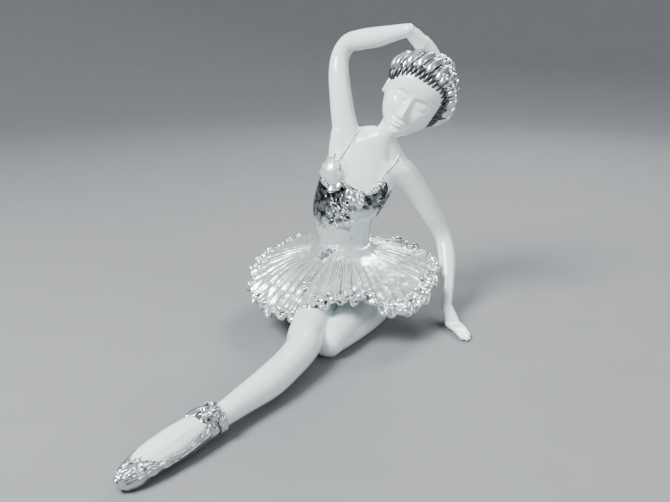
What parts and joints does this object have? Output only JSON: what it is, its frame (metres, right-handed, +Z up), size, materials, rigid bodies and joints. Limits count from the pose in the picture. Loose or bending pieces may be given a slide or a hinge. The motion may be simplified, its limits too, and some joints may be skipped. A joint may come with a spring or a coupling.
{
  "type": "ballerina figurine",
  "caption": "Seated ballerina figurine in glossy white resin with silvered hair, bodice, tutu and pointe shoes; one leg stretched forwards, one arm curved over the tilted head.",
  "frame": {"origin": "centre of the footprint's bounding box, on the floor", "axes": "+Z up, -Y the way her front faces and her stretched leg points, +X to her left"},
  "size_m": [0.1702, 0.2412, 0.178],
  "materials": {
    "white_resin": "gloss"
  },
  "bodies": {
    "root": {"ballerina_figurine": "white_resin"}
  },
  "joints": []
}
